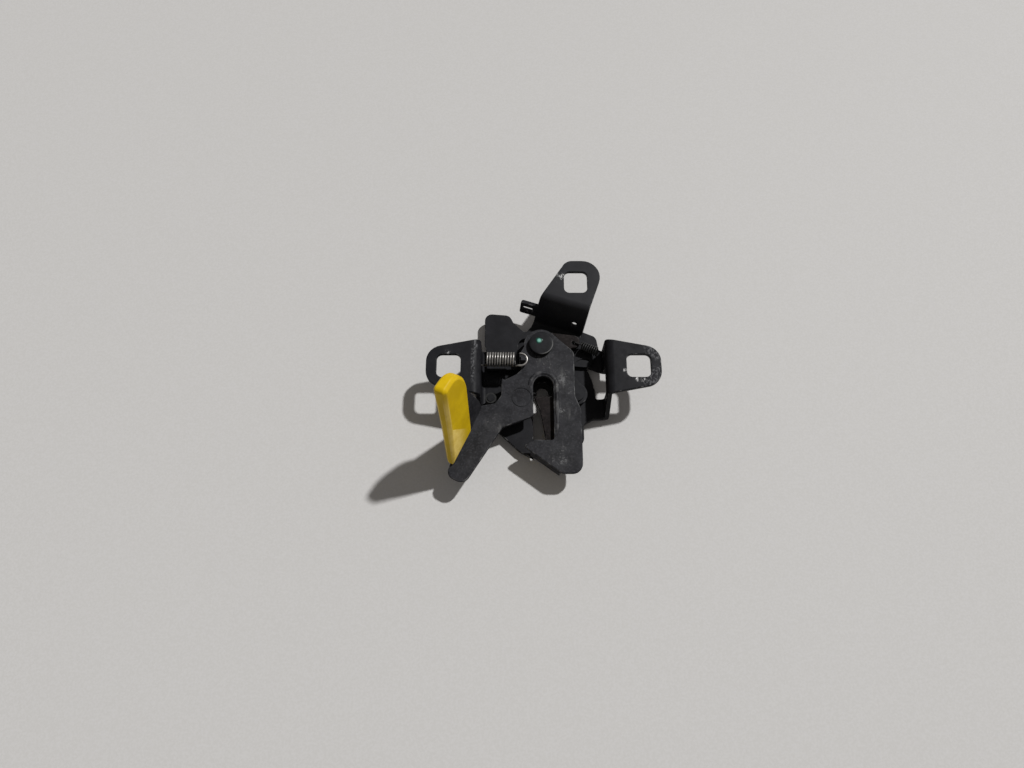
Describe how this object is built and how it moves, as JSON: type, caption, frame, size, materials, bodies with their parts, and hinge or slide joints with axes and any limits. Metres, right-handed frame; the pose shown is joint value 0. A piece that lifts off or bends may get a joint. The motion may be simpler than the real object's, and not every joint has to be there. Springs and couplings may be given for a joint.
{
  "type": "bonnet latch",
  "caption": "Bonnet latch with a folded steel bracket and fixing ears, a cable-released striker catch, and a sprung safety hook with a yellow finger grip.",
  "frame": {"origin": "on the striker slot's centreline, level with the middles of the two side fixing holes, in the plane of the ears' seats", "axes": "+X to the right seen from the front, +Y from the slot's mouth to its closed end, +Z out of the front of the latch"},
  "size_m": [0.127, 0.125, 0.0711],
  "materials": {
    "black_coat": "satin black coat, scuffed",
    "lever_steel": "worn dark grey",
    "rivet_steel": "dulled steel",
    "black_wire": "black wire",
    "bright_wire": "bright wire",
    "yellow_plastic": "moulded, slightly worn",
    "washer_plastic": "plain",
    "rubber": "matt"
  },
  "bodies": {
    "frame": {"bracket": "black_coat", "slot_buffer": "rubber", "main_rivet": "rivet_steel", "pivot_sleeve": "rivet_steel", "catch_washer": "washer_plastic", "catch_spring": "black_wire", "head_washer": "rivet_steel", "safety_spring": "bright_wire", "release_rivet": "rivet_steel", "stop_pin": "rivet_steel", "stop_sleeve": "rubber"},
    "safety": {"safety_lever": "lever_steel", "safety_grip": "yellow_plastic"},
    "catch": {"catch": "lever_steel"},
    "release": {"release_lever": "black_coat", "release_pin": "rivet_steel"}
  },
  "joints": [
    {"name": "safety_swing", "type": "hinge", "parent": "frame", "child": "safety", "pos_m": [-0.0009, 0.016, -0.0087], "axis": [0, 0, 1], "range_deg": [0, 17], "stiffness_Nm_per_rad": 0.12, "springref_deg": -51.57, "deforming": ["safety_spring"]},
    {"name": "release_pull", "type": "hinge", "parent": "frame", "child": "release", "pos_m": [0.0185, -0.01, -0.0165], "axis": [0, 0, -1], "range_deg": [0, 9.5]},
    {"name": "catch_swing", "type": "hinge", "parent": "frame", "child": "catch", "pos_m": [-0.0009, 0.016, -0.012], "axis": [0, 0, 1], "range_deg": [0, 21], "stiffness_Nm_per_rad": 0.2, "springref_deg": -34.38, "deforming": ["catch_spring"]}
  ],
  "couplings": [
    {"joint": "catch_swing", "follows": "release_pull", "ratio": 2.2}
  ]
}
